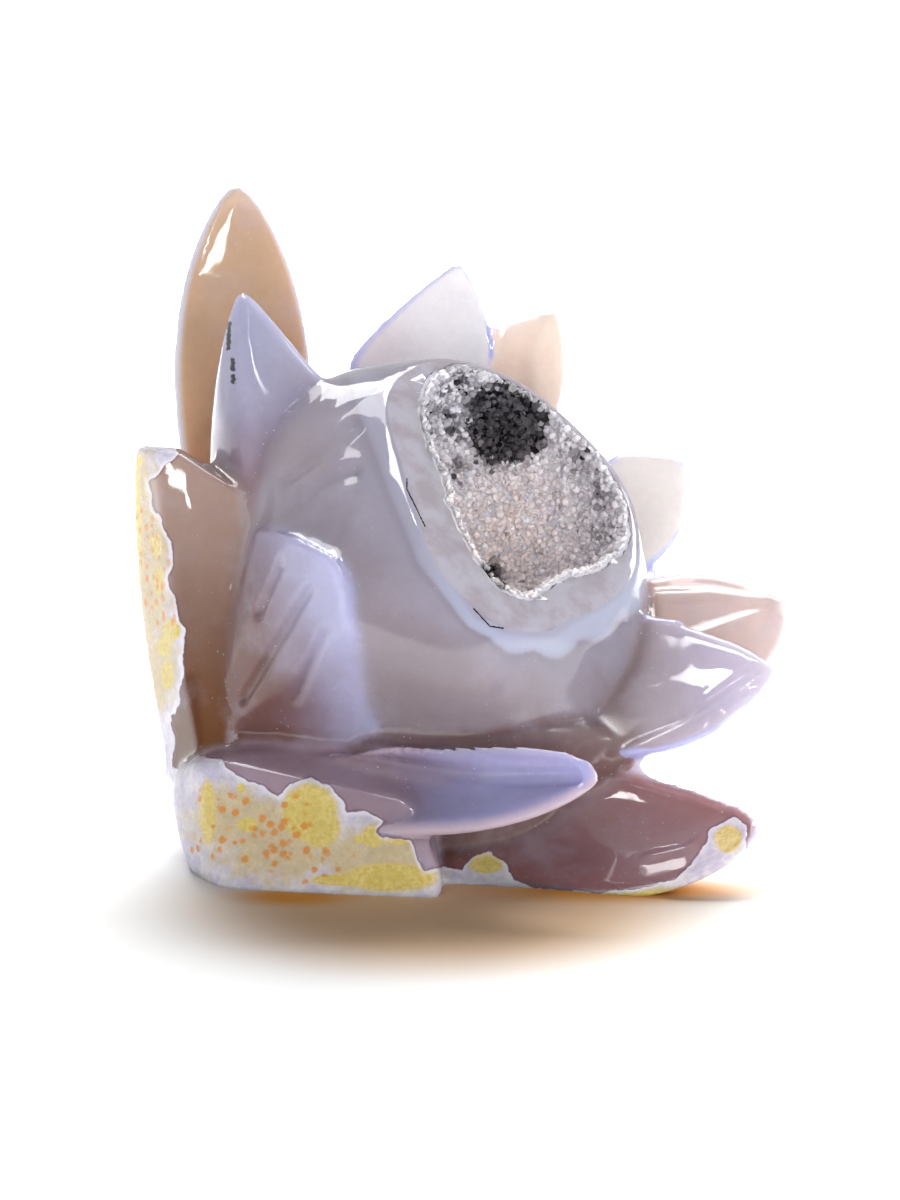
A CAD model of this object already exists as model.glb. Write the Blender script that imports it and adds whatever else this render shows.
"""The agate lotus carving, finished for its picture: polished stone, a druse in its hollow, and a stage.

The flower is laid out in the carver's own view of it, in millimetres: right, up, and near (towards the
viewer). view_to_world turns that view, which looks down on the stone by VIEW_TILT, into the standing frame.
Outlines that lie on the stone as the viewer sees them are in the same view's picture plane, right and up.
"""

import math
from collections import namedtuple
from random import Random

import bmesh
import bpy
import numpy as np
from bpy.props import FloatProperty, FloatVectorProperty, IntProperty, PointerProperty
from mathutils import Matrix, Vector, noise
from mathutils.bvhtree import BVHTree


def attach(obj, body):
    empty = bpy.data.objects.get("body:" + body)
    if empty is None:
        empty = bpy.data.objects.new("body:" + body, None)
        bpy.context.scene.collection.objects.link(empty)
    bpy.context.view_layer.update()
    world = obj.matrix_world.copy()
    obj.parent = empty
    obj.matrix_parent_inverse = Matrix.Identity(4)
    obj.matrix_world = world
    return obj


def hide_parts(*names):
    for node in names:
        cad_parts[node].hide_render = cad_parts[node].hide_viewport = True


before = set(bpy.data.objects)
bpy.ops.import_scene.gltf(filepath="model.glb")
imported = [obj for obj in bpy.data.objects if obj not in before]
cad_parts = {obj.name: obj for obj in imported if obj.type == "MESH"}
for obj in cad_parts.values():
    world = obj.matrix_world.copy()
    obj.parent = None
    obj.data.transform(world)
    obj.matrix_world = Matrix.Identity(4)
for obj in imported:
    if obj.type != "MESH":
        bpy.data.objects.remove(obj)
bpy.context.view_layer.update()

bl_info = {
    "name": "Agate lotus carving",
    "version": (1, 0, 0),
    "blender": (4, 5, 0),
    "location": "View3D > Sidebar > Agate lotus",
    "description": "Carves an agate lotus with a druzy hollow, and sets it on a pale stage",
    "category": "Object",
}

MM = 0.001

# The frame
VIEW_TILT = math.radians(14)
VIEW_HEIGHT = 38.8
VIEW_DISTANCE = 750.0
PICTURE_HEIGHT = 192.0
SENSOR_WIDTH = 36
MIDDLE = Vector((1.96, 6.87, 0.0))

# How far the block reaches that cuts the stone's foot flat
GROUND_SIZE = 300.0

# The bud and its hollow stand on the flower's axis. Their reaches sideways from it go round it in steps of
# 30 degrees: where the bud is widest, on the face where its top is sawn off, and at the hollow's mouth there.
AXIS = Vector((0.50, 0.56, 0.66)).normalized()
BUD_CENTRE = Vector((3.3, 9.0, -3.0))
BUD_REACHES = (33.5, 32.0, 29.5, 28.0, 29.5, 33.0, 36.5, 36.0, 35.0, 35.5, 36.0, 35.0)
SAWN_REACHES = (22.9, 23.6, 24.8, 24.6, 26.6, 27.4, 26.0, 20.8, 20.2, 24.9, 27.4, 23.2)
MOUTH_REACHES = (17.6, 21.8, 23.5, 23.4, 25.3, 26.0, 19.8, 13.8, 13.6, 16.0, 20.8, 16.8)
WIDEST_HEIGHT = -2.0
SAWN_HEIGHT = 13.0
BUD_DEPTH = 32.0
HOLLOW_DEPTH = 20.0
BUD_AROUND, BUD_ALONG = 240, 160
HOLLOW_SUBDIVISIONS = 6

# The sawn face is cut up along its spokes, the edges longer than this
SPOKE_LENGTH = 10
SPOKE_CUTS = 16

# How uneven the hollow's wall is, as (fineness, depth)
RAGGEDNESS = ((0.35, 0.7), (1.1, 0.45))

# The crust that lines the hollow. Its rim is a little below the mouth, as a share of the depth.
CRUST_GAP = 0.1
CRUST_THICKNESS = 1.0
CRUST_RIM = -0.015
CRUST_ROUGHNESS = 0.5
CRUST_FINENESS = 0.9

# The step aside that tells which way is straight off the hollow's wall
ASIDE = 0.01

# The quartz points, their radii as shares of the crystal size, and their heights and tips as shares of their
# radius. RIM_SPREAD is how far below and above the mouth the rim's own points stand.
CRYSTAL_SEED = 11
CRYSTAL_SIDES = 6
CRYSTAL_LEAN = 0.22
CRYSTAL_RADII = (0.3, 0.7)
CRYSTAL_HEIGHTS = (0.4, 0.9)
CRYSTAL_TAPER = (0.8, 1.0)
TIP_HEIGHTS = (0.15, 0.5)
TIP_SHIFT = (-0.35, 0.35)
CRYSTALS_IN_A_BATCH = 60
RIM_CRYSTALS = 260
RIM_SPREAD = (-0.03, 0.01)
RIM_FROST = 0.35
WHITE_SHARE = 0.06
WHITE_QUARTZ = Vector((1.0, 0.97, 1.0, 1.0))

# The stone that the petals grow from, as (middle, radii)
HEARTS = (
    (Vector((-15.0, -9.0, -6.0)), Vector((26.0, 21.0, 21.0))),
    (Vector((-4.0, -31.0, -8.0)), Vector((34.0, 15.0, 24.0))),
    (Vector((-24.0, -14.0, -3.0)), Vector((15.0, 17.0, 14.0))),
    (Vector((6.0, -24.0, 4.0)), Vector((24.0, 8.0, 16.0))),
    (Vector((-25.0, -27.0, -4.0)), Vector((21.0, 8.0, 12.0))),
)
HEART_AROUND, HEART_ALONG = 48, 32

# Forms that are hulls round their corners, with every edge rounded
BLOCKS = {
    "low_left_block": (
        (-44.0, -27.2, 8.0), (-39.1, -24.6, 16.0), (-15.6, -29.2, 22.0), (-5.9, -31.5, 24.3),
        (-1.8, -41.6, 25.8), (-0.5, -44.8, 25.2), (-3.4, -48.8, 24.0), (-35.8, -47.0, 20.0),
        (-40.4, -45.0, 10.4), (-44.4, -31.0, 8.0), (-43.0, -38.0, 10.0), (-42.0, -26.0, -10.0),
        (-39.0, -40.0, -12.0), (-33.0, -22.4, 2.0), (-12.6, -21.7, 6.0), (-4.0, -28.0, 6.0),
        (-4.0, -46.0, 4.0),
    ),
    "front_ridged": (
        (-30.4, 11.8, 14.0), (-24.6, 10.6, 22.5), (-18.4, 7.6, 27.0), (-16.8, 5.4, 27.4),
        (-15.4, -4.0, 26.0), (-13.4, -12.5, 20.5), (-8.5, -23.0, 11.0), (-24.0, -25.0, 8.0),
        (-42.0, -26.0, 2.0), (-38.5, -17.0, 5.0), (-35.5, -8.0, 7.5), (-33.0, 0.0, 9.5),
        (-30.0, 9.0, 6.0), (-17.5, 4.0, 17.0), (-40.0, -26.0, -8.0), (-9.0, -24.0, 0.0), (-24.0, -6.0, 0.0),
    ),
}
BLOCK_BEVEL = 2.4
BLOCK_BEVEL_SEGMENTS = 4
BLOCK_FLATNESS = math.radians(6)
BLOCK_SUBDIVISIONS = 4
BLOCK_EDGE = 1.5

# A petal runs from its root to its tip, and left and right are its widest points as seen from its inner side
# with the tip up. thick is its middle's thickness, rim how far its inner side is scooped, belly how far its
# spine bows inward, and crease how sharply it folds along its middle (1 is a sharp fold). base is the root's
# share of the full width, full the roundness of each side from widest to tip, and cuts the planes that it is
# sawn off at. band is how wide the rim is that the scoop leaves, and blunt below 1 rounds its tip.
Petal = namedtuple(
    "Petal",
    "name root tip left right thick rim belly crease base full cuts band blunt",
    defaults=(4.5, 1.0, -3.0, 2.0, 0.6, (1.8, 1.8), (), 1.0, 0.85),
)
PETAL_AROUND, PETAL_ALONG = 112, 90
TIP_THINNING = 0.5
RIM_STEP = 1.1
WIDEST_FROM, WIDEST_TO = 0.2, 0.92

# A place is at most FAR_FROM_EDGE from its form's edge. Near a petal's tip the way to it is counted in part.
FAR_FROM_EDGE = 8.0
TIP_SHARE = 0.8

# The left petal is sawn off at its skin, its top and its shoulder: a point of each plane, and its direction
RIND_SKIN = ((-47.6, -1.0, 0.0), (-0.86, -0.105, 0.50))
RIND_TOP = ((-46.0, 23.8, 6.0), (0.0, 0.98, 0.20))
RIND_SHOULDER = ((-43.0, 23.8, 6.0), (0.50, 0.85, 0.16))

PETALS = (
    Petal("tall_back_left", (-33, 4, -16), (-35.2, 68.6, -22), (-45, 34, -15), (-22.7, 33, -28),
          thick=4.5, rim=0.9, crease=1.6, full=(2.2, 2.2), blunt=0.72),
    Petal("left_ridge", (-30, 0, 4), (-33.4, 49.4, 2), (-38.5, 18, -3), (-13, 31, -2),
          thick=6.0, rim=0.3, belly=4.0, crease=1.1, base=0.8, full=(1.6, 0.55), blunt=0.72),
    Petal("back_middle", (-3, 18, -18), (1.5, 56.7, -34), (-17.2, 39.6, -28), (6.7, 40, -32),
          thick=3.6, belly=-2.0, base=0.9, full=(1.2, 2.0), blunt=0.9),
    Petal("back_right", (9, 22, -20), (18, 48.6, -38), (5, 45, -36), (18, 31, -34),
          thick=3.8, rim=0.9, belly=-2.0, crease=1.7, base=0.8, full=(1.1, 2.0)),
    Petal("right_white", (20, 5, -14), (39, 23.2, -28), (27, 24.5, -30), (36.5, 8, -24),
          thick=3.2, rim=0.8, belly=-2.0, base=0.8, full=(1.15, 1.6), blunt=0.73),
    Petal("right_pink", (28, -7, -8), (55, -1, -14), (37.5, 4.4, -20), (47, -14.5, -8),
          thick=4.0, belly=-2.5, crease=1.8, base=0.95, full=(1.5, 1.8), blunt=0.7),
    Petal("right_front", (24, -17, 6), (52.2, -10.8, 10), (32.3, -2.4, 0), (32.6, -24.0, 13),
          thick=4.2, rim=1.1, belly=-1.6, crease=1.8, base=0.9, full=(1.2, 1.7), blunt=0.66),
    Petal("back_low_right", (22, -20, -16), (47.4, -16, -30), (42, -5, -34), (39.9, -23.6, -26),
          thick=4.0, belly=-2.5, crease=1.8),
    Petal("low_right", (-10, -36.5, 8), (48.5, -35.4, 20), (24.3, -25.9, 8), (25.1, -46.5, 23),
          thick=5.0, rim=1.1, belly=-3.2, crease=1.8, base=0.7, full=(0.95, 2.1), blunt=0.62),
    Petal("low_front", (-22, -29, 8), (23.2, -26.3, 33.5), (-2, -22.8, 23), (-1.5, -36.2, 29),
          thick=5.4, rim=0.5, belly=-1.6, crease=1.8, base=0.8, full=(3.4, 1.9), band=1.4, blunt=0.5),
    Petal("left_rind", (-43, -30, 4), (-48, 30, 5), (-58, 4, -3), (-31.5, 13.5, 9),
          thick=9.0, rim=0.8, belly=-2.5, full=(3.0, 3.0), cuts=(RIND_SKIN, RIND_TOP, RIND_SHOULDER)),
    Petal("back_wrap_left", (-22, -4, -22), (-22, 31, -42), (-36, 12, -32), (-6, 14, -44)),
    Petal("back_wrap_right", (8, 0, -26), (8, 30, -50), (-8, 14, -46), (24, 10, -42)),
    Petal("back_left", (-30, -18, -14), (-46, 6, -36), (-46, -14, -22), (-28, 0, -40)),
    Petal("back_low_left", (-22, -28, -16), (-36, -17, -50), (-40, -24, -30), (-16, -18, -42)),
    Petal("back_low", (-6, -24, -20), (-6, -6, -54), (-20, -14, -42), (9, -14, -42)),
    Petal("back_foot", (12, -28, -16), (24, -20, -48), (2, -22, -38), (30, -22, -30)),
)

# The stone's colours, from the thick root of each form to its thin tip, where it is so thin that light comes
# through (clear), and along its edge (rim)
Tint = namedtuple("Tint", "root tip clear rim")
TINTS = {
    "tall_back_left": Tint("fcd09c", "ac947e", "c4ae92", "c4c8d6"),
    "left_ridge": Tint("8c6c6a", "989cba", "aeacbe", "b4b4d2"),
    "back_middle": Tint("d2d0d4", "d4d6dc", "d8d8da", "8c98dc"),
    "back_right": Tint("50260e", "eee4d8", "e0ccbc", "c4bcd0"),
    "right_white": Tint("b4aeb2", "e0ddda", "dedad4", "8496e4"),
    "right_pink": Tint("ac8a7c", "d2c0b8", "dccec6", "e6e0e6"),
    "right_front": Tint("8c7a7e", "bab6c8", "c8c4d2", "b0b4e4"),
    "back_low_right": Tint("a8865c", "d6bb92", "dcc49e", "e2d8c6"),
    "low_right": Tint("280000", "b49aa6", "8a5c5a", "ccc8da"),
    "low_front": Tint("88707a", "a0a2d0", "9ea0ca", "c0aeba"),
    "left_rind": Tint("6e482c", "a08a84", "a6907e", "ad9f9f"),
    "front_ridged": Tint("70504c", "aeafd0", "b4b4d0", "b8b9de"),
    "low_left_block": Tint("988290", "a897a6", "9e98bb", "aaa8ca"),
    "bud": Tint("8f848b", "9a929f", "a5a3b3", "b2b4cc"),
    "heart": Tint("6d5456", "806a70", "8b7880", "8b7880"),
    "back": Tint("7c6870", "b0a8be", "c4bed0", "c0c3e6"),
}

# Where the colours of the forms without a tip of their own run from and to, seen by the viewer
RISES = {
    "low_left_block": ((-18.0, -26.0), (-1.0, -42.0)),
    "front_ridged": ((-34.0, -6.0), (-15.0, 1.0)),
    "bud": ((0.0, -24.0), (4.0, 22.0)),
    "heart": ((0.0, -40.0), (0.0, 4.0)),
}

# Light comes through stone about as thick as CLEAR_DEPTH. Depths are read from THROUGH_START below the skin.
CLEAR_DEPTH = 5.0
THROUGH_START = 0.1
THROUGH_REACH = 60

# How far the forms' colours run into each other, and over how many edges each measure is evened out
CORNER_BLUR = 0.2 * MM
COLOUR_BLUR = 5
DEPTH_BLUR = 6
CREASE_BLUR = 2

# Edges that turn by more than this stay sharp in the shading
SHARP_ANGLE = math.radians(65)

# How the fused stone is polished. Its edges are evened for EDGE_ROUNDS, in part from the first sharpness and
# wholly from the second. The bud's skin is evened for BUD_ROUNDS: what is above a height, in full from BUD_FADE
# higher, near the bud's own shape, and clear of the sawn face's edge.
EDGE_ROUNDS = 3
SHARPNESS = (0.06, 0.16)
BUD_ROUNDS = 40
BUD_EVENED_FROM = -14.0
BUD_FADE = 4
NEAR_THE_BUD = (0.8, 1.6)
CLEAR_OF_EDGE = (1.8, 3.4)

# What counts as the sawn face, and values for places that are nowhere near a mark or the bud
ON_SAWN_FACE = 0.4
OUTSIDE_MARKS = -9.0
OFF_THE_BUD = 30.0

# Where the nodule's own skin is left, as outlines in the picture plane
RIND_AREAS = {
    "low_left_block": (
        (-47.0, -24.0), (-44.5, -27.2), (-40.0, -24.8), (-36.5, -25.6), (-34.4, -28.0), (-30.1, -29.9),
        (-27.2, -31.5), (-25.6, -29.6), (-22.4, -28.5), (-19.2, -29.6), (-17.1, -32.0), (-16.6, -34.1),
        (-13.6, -33.9), (-10.4, -35.5), (-6.4, -37.1), (-5.8, -40.0), (-4.0, -43.5), (-0.5, -42.5),
        (2.0, -52.0), (-50.0, -52.0),
    ),
    "left_rind": (
        (-43.5, 23.4), (-48.2, 19.0), (-47.6, 14.6), (-46.2, 12.8), (-44.5, 9.0), (-44.6, 5.4), (-45.4, 3.4),
        (-43.8, 0.0), (-43.3, -3.5), (-42.4, -4.6), (-42.7, -7.7), (-42.7, -11.5), (-43.1, -14.2),
        (-43.5, -18.1), (-44.1, -22.0), (-44.6, -30.0), (-60.0, -30.0), (-60.0, 24.6), (-44.0, 24.6),
    ),
    "low_right": (
        (-1.6, -42.6), (1.9, -43.4), (3.2, -41.4), (6.2, -40.0), (9.0, -42.0), (10.2, -45.0), (15.5, -46.2),
        (24.0, -46.9), (30.4, -46.1), (35.8, -44.6), (38.6, -42.4), (40.3, -39.7), (41.9, -36.5),
        (45.3, -34.7), (47.7, -36.2), (47.2, -40.0), (43.2, -46.0), (32.0, -50.0), (14.4, -50.0),
        (-2.2, -46.5),
    ),
}

# The forms that each area of skin lies on
RIND_FORMS = {
    "low_left_block": ("low_left_block", "heart"),
    "left_rind": (
        "left_rind", "heart", "back_left", "back_low_left", "front_ridged", "low_left_block", "bud",
        "left_ridge", "back_wrap_left", "low_front", "low_right", "back_low",
    ),
    "low_right": ("low_right",),
}

# Edges under the skin, and up to SKIN_MARGIN beyond it, are split while they are longer than SKIN_EDGE, in
# SKIN_SPLITS rounds
SKIN_SPLITS = 3
SKIN_MARGIN = 1.0
SKIN_EDGE = 0.9

# The left petal's dark root in the picture plane, and how much of red, green and blue it takes away. Then the
# places where the polish is dull: middle, half width, half height.
LEFT_ROOT = ((-44.8, -12.0), (-40.4, -12.0), (-39.6, -28.0), (-45.6, -28.0))
LEFT_ROOT_SHADE = (0.3, 0.42, 0.55)
DULL_SPOTS = ((25.4, -20.5, 6.0, 4.0), (20.4, -20.2, 4.0, 3.4))

# The skin's yellow spots in the picture plane: middle, half width, half height
YELLOW_SPOTS = (
    (-22.4, -33.9, 4.8, 5.0), (-20.9, -36.4, 3.6, 3.4), (-9.6, -44.4, 7.8, 2.4), (-12.4, -37.9, 1.9, 1.8),
    (-8.4, -38.3, 2.0, 0.9), (-5.2, -38.4, 0.9, 0.9), (-38.8, -34.0, 1.3, 5.6), (-33.4, -30.1, 0.8, 0.8),
    (-18.0, -44.8, 4.6, 0.9), (-32.4, -36.0, 1.8, 1.3), (-14.9, -38.2, 0.6, 0.6),
    (-47.1, 8.6, 1.0, 2.2), (-46.6, 3.0, 0.9, 2.4), (-44.6, -4.9, 1.6, 1.9), (-45.7, -7.4, 1.4, 1.6),
    (-45.2, -12.0, 1.1, 2.6), (-50.3, 22.2, 1.2, 1.3), (-49.9, 10.0, 0.5, 12.0),
    (44.5, -38.2, 2.3, 2.3), (5.8, -42.0, 3.2, 1.9), (14.0, -47.0, 10.0, 0.9), (30.0, -47.4, 12.0, 0.9),
)
ORANGE_ZONES = (
    (-30.0, -37.5, 9.5, 4.6), (-25.5, -41.0, 6.0, 3.0), (-36.5, -33.5, 3.5, 3.0), (-20.0, -42.0, 3.5, 2.0),
    (-47.6, 9.4, 2.4, 4.8), (-46.6, 2.2, 2.2, 4.0), (-46.0, -2.7, 1.8, 1.8),
)
PALE_YELLOW_ZONES = (
    (-34.0, -35.0, 9.0, 6.0), (-28.0, -39.0, 12.0, 7.0), (-48.5, 5.0, 4.5, 20.0), (-46.5, -11.0, 3.5, 8.0),
    (-12.0, -41.0, 11.0, 5.5), (-49.6, 20.0, 2.2, 4.0), (24.0, -46.6, 18.0, 1.0),
)

# Carved relief in the picture plane. A stroke goes along its points, rising by height at its middle over
# reach to each side, or cut in where the height is negative; near bounds how near the stone must be there.
Stroke = namedtuple("Stroke", "points height reach near")
STROKES = (
    Stroke(((-22.6, 1.7), (-33.2, -16.0)), -0.95, 1.1, (8, 40)),
    Stroke(((-20.2, -5.3), (-24.7, -16.0)), -0.85, 1.1, (8, 40)),
    Stroke(((-27.1, 6.2), (-30.6, -2.2)), -0.6, 0.9, (8, 40)),
    Stroke(((-15.2, 28.0), (-20.8, 23.2), (-26.4, 19.2)), -0.45, 1.8, (0, 40)),
    Stroke(((-25.6, 14.4), (-23.2, 15.2), (-20.0, 18.4), (-14.9, 20.5)), -0.4, 1.5, (0, 40)),
    Stroke(((-24.4, 18.4), (-19.2, 21.4), (-15.6, 22.6)), 0.25, 1.6, (0, 40)),
    Stroke(((-14.9, 20.5), (-14.7, 17.6), (-16.8, 12.8), (-18.4, 8.8)), -0.4, 1.6, (0, 40)),
    Stroke(((15.5, 45.3), (13.0, 38.9), (13.7, 32.0)), 0.5, 2.0, (-60, -20)),
    Stroke(((16.6, 46.6), (11.0, 44.4), (5.6, 42.6)), -0.35, 1.6, (-60, -20)),
    Stroke(((32.0, 0.6), (42.0, 0.9), (53.4, -0.6)), 0.6, 1.3, (-30, -6)),
    Stroke(((36.0, -6.8), (46.0, -3.4), (53.4, -1.0)), 0.6, 1.3, (-30, -6)),
    Stroke(((24.9, -24.5), (30.5, -21.4), (36.8, -18.9), (49.0, -10.7)), -0.45, 0.8, (0, 40)),
    Stroke(((26.0, -26.0), (31.4, -22.9), (37.6, -20.2), (49.8, -11.9)), 0.4, 0.8, (0, 40)),
    Stroke(((31.0, -41.3), (37.8, -39.8), (45.8, -33.8)), 0.3, 0.9, (5, 40)),
    Stroke(((25.8, -26.9), (36.6, -30.0), (47.2, -33.9)), 0.5, 0.9, (5, 40)),
    Stroke(((25.4, -28.3), (36.2, -31.4), (44.6, -34.2)), -0.4, 0.8, (5, 40)),
    Stroke(((-18.0, -22.4), (-6.4, -24.4), (2.0, -25.6), (11.2, -26.5), (22.6, -26.4)), 0.6, 1.5, (12, 40)),
    Stroke(((-16.0, -25.0), (-4.8, -26.8), (2.0, -28.2), (11.2, -29.2), (20.6, -28.8)), -0.5, 1.1, (14, 40)),
)
STROKE_BLUR = 3

# Black pits beside the left petal's ridge, as lines in the picture plane
PITS = (
    ((-35.3, 44.2), (-35.5, 40.3)),
    ((-34.8, 38.4), (-34.7, 36.9)),
    ((-34.7, 35.8), (-34.7, 34.9)),
)
PIT_REACH = 0.42

# The blue-white layer round the sawn face, along a path in the picture plane, with each point's half width.
# Below the hollow its outer side is scalloped. It is faint at the left, and gets crisp between two places.
SEAM = (
    (-14.6, 38.0, 2.2), (-13.4, 34.6, 2.2), (-8.8, 20.8, 2.0), (-3.4, 6.4, 1.6), (3.8, -3.4, 1.2),
    (8.0, -5.8, 1.4), (12.8, -6.7, 2.0), (17.0, -6.7, 2.0), (20.2, -4.6, 2.4), (23.7, -3.0, 2.7),
    (27.2, -0.6, 2.5), (30.2, 3.4, 2.0), (31.6, 8.8, 1.2), (32.0, 14.0, 0.8),
)
SCALLOP_LENGTH = 7.0
SCALLOP_DEPTH = 1.3
SCALLOPS_FROM = 4.0
SEAM_FAINT = 0.3
CRISP_FROM, CRISP_TO = -8, 4

# Hairline cracks on the sawn face's edge, in the picture plane
CRACKS = (
    ((-6.9, 19.4), (-6.9, 17.8), (-4.0, 11.8)),
    ((3.8, -1.4), (6.4, -4.2), (8.5, -4.5)),
)
CRACK_REACH = 0.14

# Manganese patches in the druse, in the picture plane: middle, reach, strength. The points vary about them
# by DARK_WOBBLE from place to place and by DARK_SCATTER one by one. How dark one gets is the strength times
# DARK_CONTRAST, less DARK_LOSS, and a share from DARK_SHARES of that.
DARK_PATCHES = (
    (8.8, 28.0, 8.4, 2.0), (10.6, 32.4, 6.2, 1.4), (11.8, 29.6, 6.0, 1.5), (5.4, 31.0, 5.6, 1.0),
    (-0.6, 29.4, 9.5, 0.5), (2.0, 35.0, 7.0, 0.5), (15.6, 31.4, 6.0, 0.5), (6.6, 4.8, 2.8, 1.1),
    (8.2, 2.6, 1.8, 0.8), (20.8, 23.4, 5.6, 0.48), (23.6, 17.2, 5.4, 0.4), (1.2, 21.4, 5.0, 0.42),
    (24.0, 10.0, 5.0, 0.34),
)
DARK_WOBBLE = 0.25
WOBBLE_FINENESS = 0.9
DARK_SCATTER = 0.13
DARK_CONTRAST, DARK_LOSS = 2.4, 0.4
DARK_SHARES = (0.85, 1.0)

# Agate and crystals are the same quartz
QUARTZ_IOR = 1.54

# Where the druse is rosy, in the picture plane
ROSE_MIDDLE = (9.0, 10.0)
ROSE_REACH = 22.0

# Small windows that the polish mirrors, each as its place in the picture plane, and its width and height
WINDOWS = (
    ((-36.8, 56.0), (5, 8)),
    ((-43.5, 20.0), (11, 4)),
    ((42.4, -11.8), (16, 11)),
    ((46.4, 1.6), (8, 4)),
    ((28.5, -31.7), (5, 5)),
    ((11.2, -25.9), (40, 4)),
    ((-31.9, 40.0), (3, 60)),
    ((-10.2, 32.4), (26, 26)),
    ((-8.9, 21.6), (18, 18)),
)
WINDOW_DISTANCE = 100.0
WINDOW_SPREAD = math.radians(30)

# The collections that the lights are set for, and their pieces
LIT = {
    "carving": ("agate_lotus", "quartz_druse"),
    "stone": ("agate_lotus",),
    "ground": ("pale_floor",),
    "druse": ("quartz_druse",),
}

# The softboxes, in metres. power names the stage's setting, lit the collection that is lit, and off the kind
# of visibility that is switched off.
Softbox = namedtuple("Softbox", "name place width height power lit off", defaults=(None,))
SOFTBOXES = (
    Softbox("floor_softbox", (0.04, 0.76, 0.62), 0.9, 0.7, "floor_light", "ground"),
    Softbox("floor_fill", (0.0, -0.6, 0.5), 0.8, 0.3, "floor_fill", "ground"),
    Softbox("back_softbox", (0.05, 0.5, 0.95), 0.7, 0.4, "back", "carving"),
    Softbox("fill_softbox", (0.15, -0.85, 0.16), 1.0, 0.5, "fill", "carving", "visible_glossy"),
    Softbox("left_softbox", (-0.75, -0.4, 0.3), 0.4, 0.4, "sides", "carving", "visible_glossy"),
    Softbox("right_fill", (0.8, -0.3, 0.3), 0.4, 0.4, "sides", "carving", "visible_glossy"),
    Softbox("right_softbox", (0.8, 0.45, 0.46), 0.12, 0.36, "right", "stone"),
    Softbox("overhead_softbox", (0.05, 0.17, 0.8), 0.36, 0.34, "overhead", "stone", "visible_diffuse"),
)
DRUSE_SOFTBOX = Softbox("druse_softbox", (0.4, -0.45, 0.7), 0.4, 0.3, "druse", "druse")

# What the stone mirrors is dim at the viewer's side, up to a share of the way to the back
DIM_FROM, DIM_TO = -0.8, 0.3

# The floor's glow near the stone, and where the stone lets amber light through to it: middle and reach
GLOW = (Vector((-0.002, -0.046, 0.0)), Vector((0.05, 0.042, 1.0)))
AMBER_ZONES = (
    (Vector((0.025, -0.038, 0.0)), Vector((0.032, 0.009, 1.0))),
    (Vector((-0.026, -0.041, 0.0)), Vector((0.013, 0.007, 1.0))),
)


def view_to_world(point):
    """A point of the carver's view, in millimetres, as a point of the standing frame in metres."""
    right, up, near = point
    standing = Vector((
        right,
        up * math.sin(VIEW_TILT) - near * math.cos(VIEW_TILT),
        VIEW_HEIGHT + up * math.cos(VIEW_TILT) + near * math.sin(VIEW_TILT),
    ))
    return (standing - MIDDLE) * MM


def view_normal(direction):
    """A direction of the carver's view as a direction of the standing frame."""
    return (view_to_world(direction) - view_to_world((0, 0, 0))).normalized()


def world_to_view(points):
    """An array of points of the standing frame, in metres, as points of the carver's view in millimetres."""
    standing = points / MM + np.array(MIDDLE)
    rise = standing[:, 2] - VIEW_HEIGHT
    up = standing[:, 1] * math.sin(VIEW_TILT) + rise * math.cos(VIEW_TILT)
    near = rise * math.sin(VIEW_TILT) - standing[:, 1] * math.cos(VIEW_TILT)
    return np.stack((standing[:, 0], up, near), axis=1)


def on_picture(view_points):
    """Where points of the carver's view are seen in the picture plane."""
    return view_points[:, :2] * (VIEW_DISTANCE / (VIEW_DISTANCE - view_points[:, 2:3]))


def linear(code):
    """A colour written as six hexadecimal digits, as linear light."""
    shades = (int(code[place:place + 2], 16) / 255 for place in (0, 2, 4))
    return tuple(shade / 12.92 if shade <= 0.04045 else ((shade + 0.055) / 1.055) ** 2.4 for shade in shades)


def smoothstep(value, low, high):
    """0 below low, 1 above high, and smooth in between."""
    share = np.clip((value - low) / (high - low), 0, 1)
    return share * share * (3 - 2 * share)


# The flower's forms

def side_outline(along, widest, base, fullness, blunt):
    """One side's share of its full width, along a petal: base at the root, 1 at its widest, 0 at the tip."""
    if along < widest:
        return base + (1 - base) * math.sin(math.pi / 2 * along / widest)
    return (1 - ((along - widest) / (1 - widest)) ** fullness) ** blunt


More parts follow.
